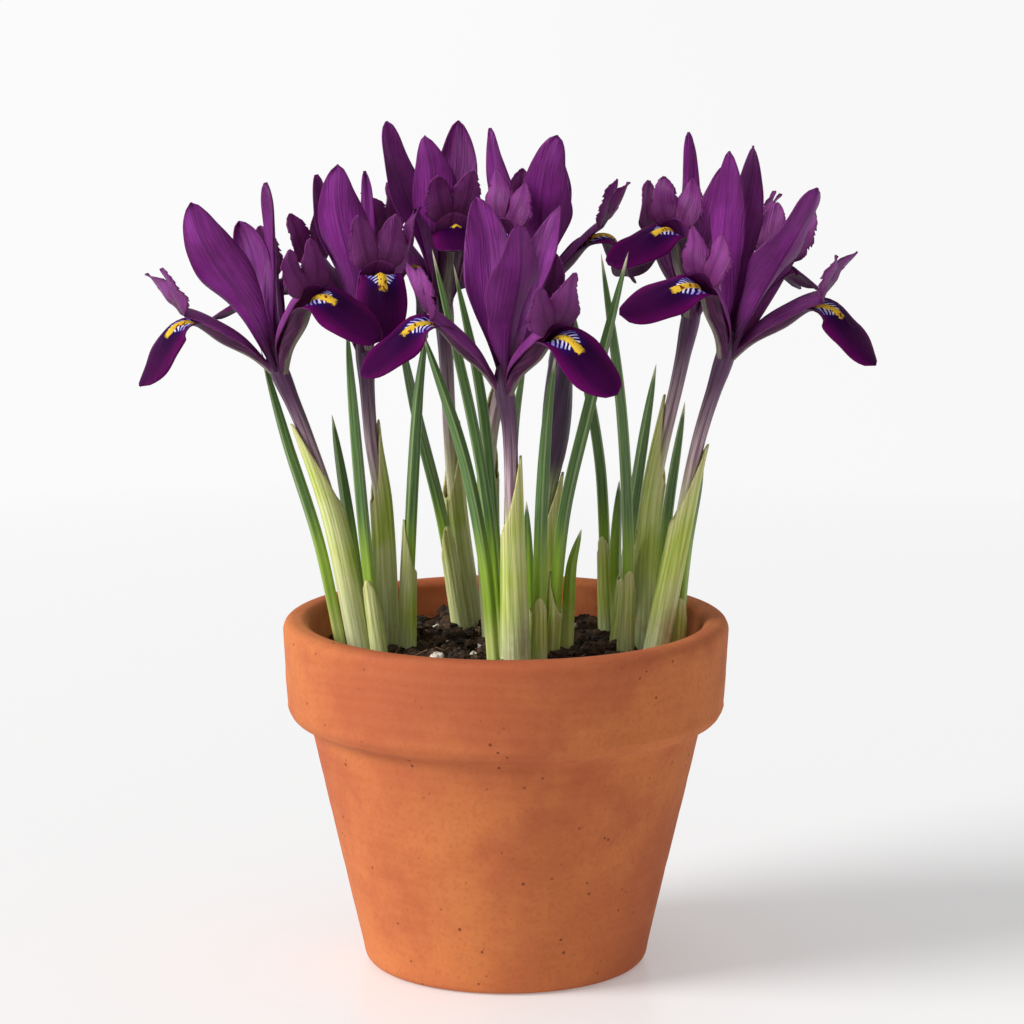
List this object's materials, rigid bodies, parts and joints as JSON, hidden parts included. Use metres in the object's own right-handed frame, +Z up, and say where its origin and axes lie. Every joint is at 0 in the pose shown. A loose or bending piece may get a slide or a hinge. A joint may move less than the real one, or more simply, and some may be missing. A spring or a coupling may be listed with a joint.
{
  "type": "potted dwarf iris",
  "caption": "Dwarf irises in flower, with a bud and narrow leaves, growing from peat in a round clay pot with a collar.",
  "frame": {"origin": "centre of the pot's foot, on the surface it stands on", "axes": "+Z up along the pot's axis, -Y towards the side the picture shows, +X to the picture's right"},
  "size_m": [0.1802, 0.1103, 0.2061],
  "materials": {
    "clay": "unglazed fired clay, matt, with fine throwing rings and pores",
    "peat": "moist dark crumbly peat with pale grains",
    "petal": "soft matt petal, veined, with a yellow ridge and pale dashes on each fall",
    "bud": "soft dark rolled petals",
    "sheath": "thin papery sheath, pale green, ribbed",
    "leaf": "smooth four-sided leaf with pale ribs and a horny point"
  },
  "bodies": {
    "root": {"pot": "clay", "soil": "peat", "bloom_left": "petal", "bloom_left_back": "petal", "bloom_back_left": "petal", "bloom_back_centre": "petal", "bloom_front_centre": "petal", "bloom_right_back": "petal", "bloom_right": "petal", "bud": "bud", "sheath_left": "sheath", "sheath_left_back": "sheath", "sheath_back_left": "sheath", "sheath_back_centre": "sheath", "sheath_front_centre": "sheath", "sheath_right_back": "sheath", "sheath_right": "sheath", "sheath_bud": "sheath", "leaf_01": "leaf", "leaf_02": "leaf", "leaf_03": "leaf", "leaf_04": "leaf", "leaf_05": "leaf", "leaf_06": "leaf", "leaf_07": "leaf", "leaf_08": "leaf", "leaf_09": "leaf", "leaf_10": "leaf", "leaf_11": "leaf", "leaf_12": "leaf", "leaf_13": "leaf", "leaf_14": "leaf", "leaf_15": "leaf", "leaf_16": "leaf", "leaf_17": "leaf", "leaf_18": "leaf", "leaf_19": "leaf"}
  },
  "joints": []
}
